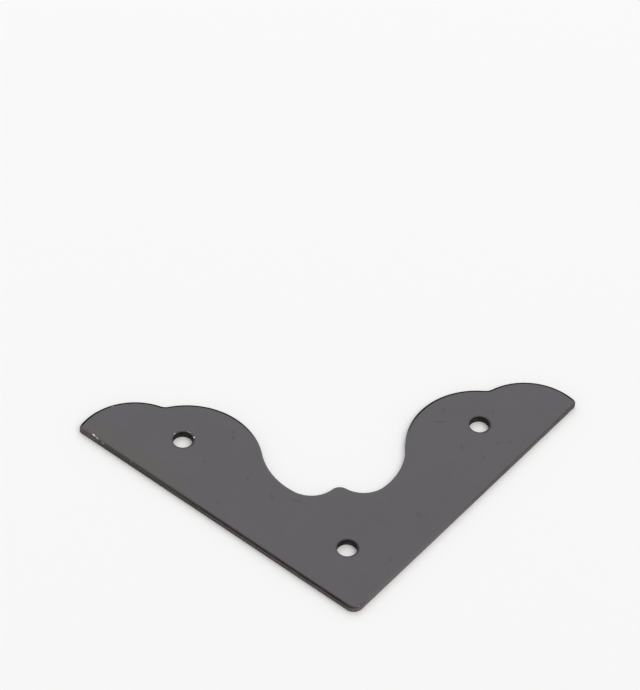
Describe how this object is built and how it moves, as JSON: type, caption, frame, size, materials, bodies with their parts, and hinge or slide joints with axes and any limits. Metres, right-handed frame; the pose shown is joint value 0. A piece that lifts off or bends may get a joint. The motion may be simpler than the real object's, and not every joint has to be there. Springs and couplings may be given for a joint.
{
  "type": "corner plate",
  "caption": "Flat square-cornered plate with a scalloped inner edge and three screw holes, which covers and holds a mitred box corner.",
  "frame": {"origin": "centre of the bounding box on the back face, which is the face that lies on the box", "axes": "+Z out of the show face, -Y towards the square corner along the line of symmetry, X along the span from arm end to arm end"},
  "size_m": [0.1074, 0.0594, 0.0016],
  "materials": {
    "painted_steel": "semi-gloss dark grey paint over steel, worn at the edges"
  },
  "bodies": {
    "root": {"corner_plate": "painted_steel"}
  },
  "joints": []
}
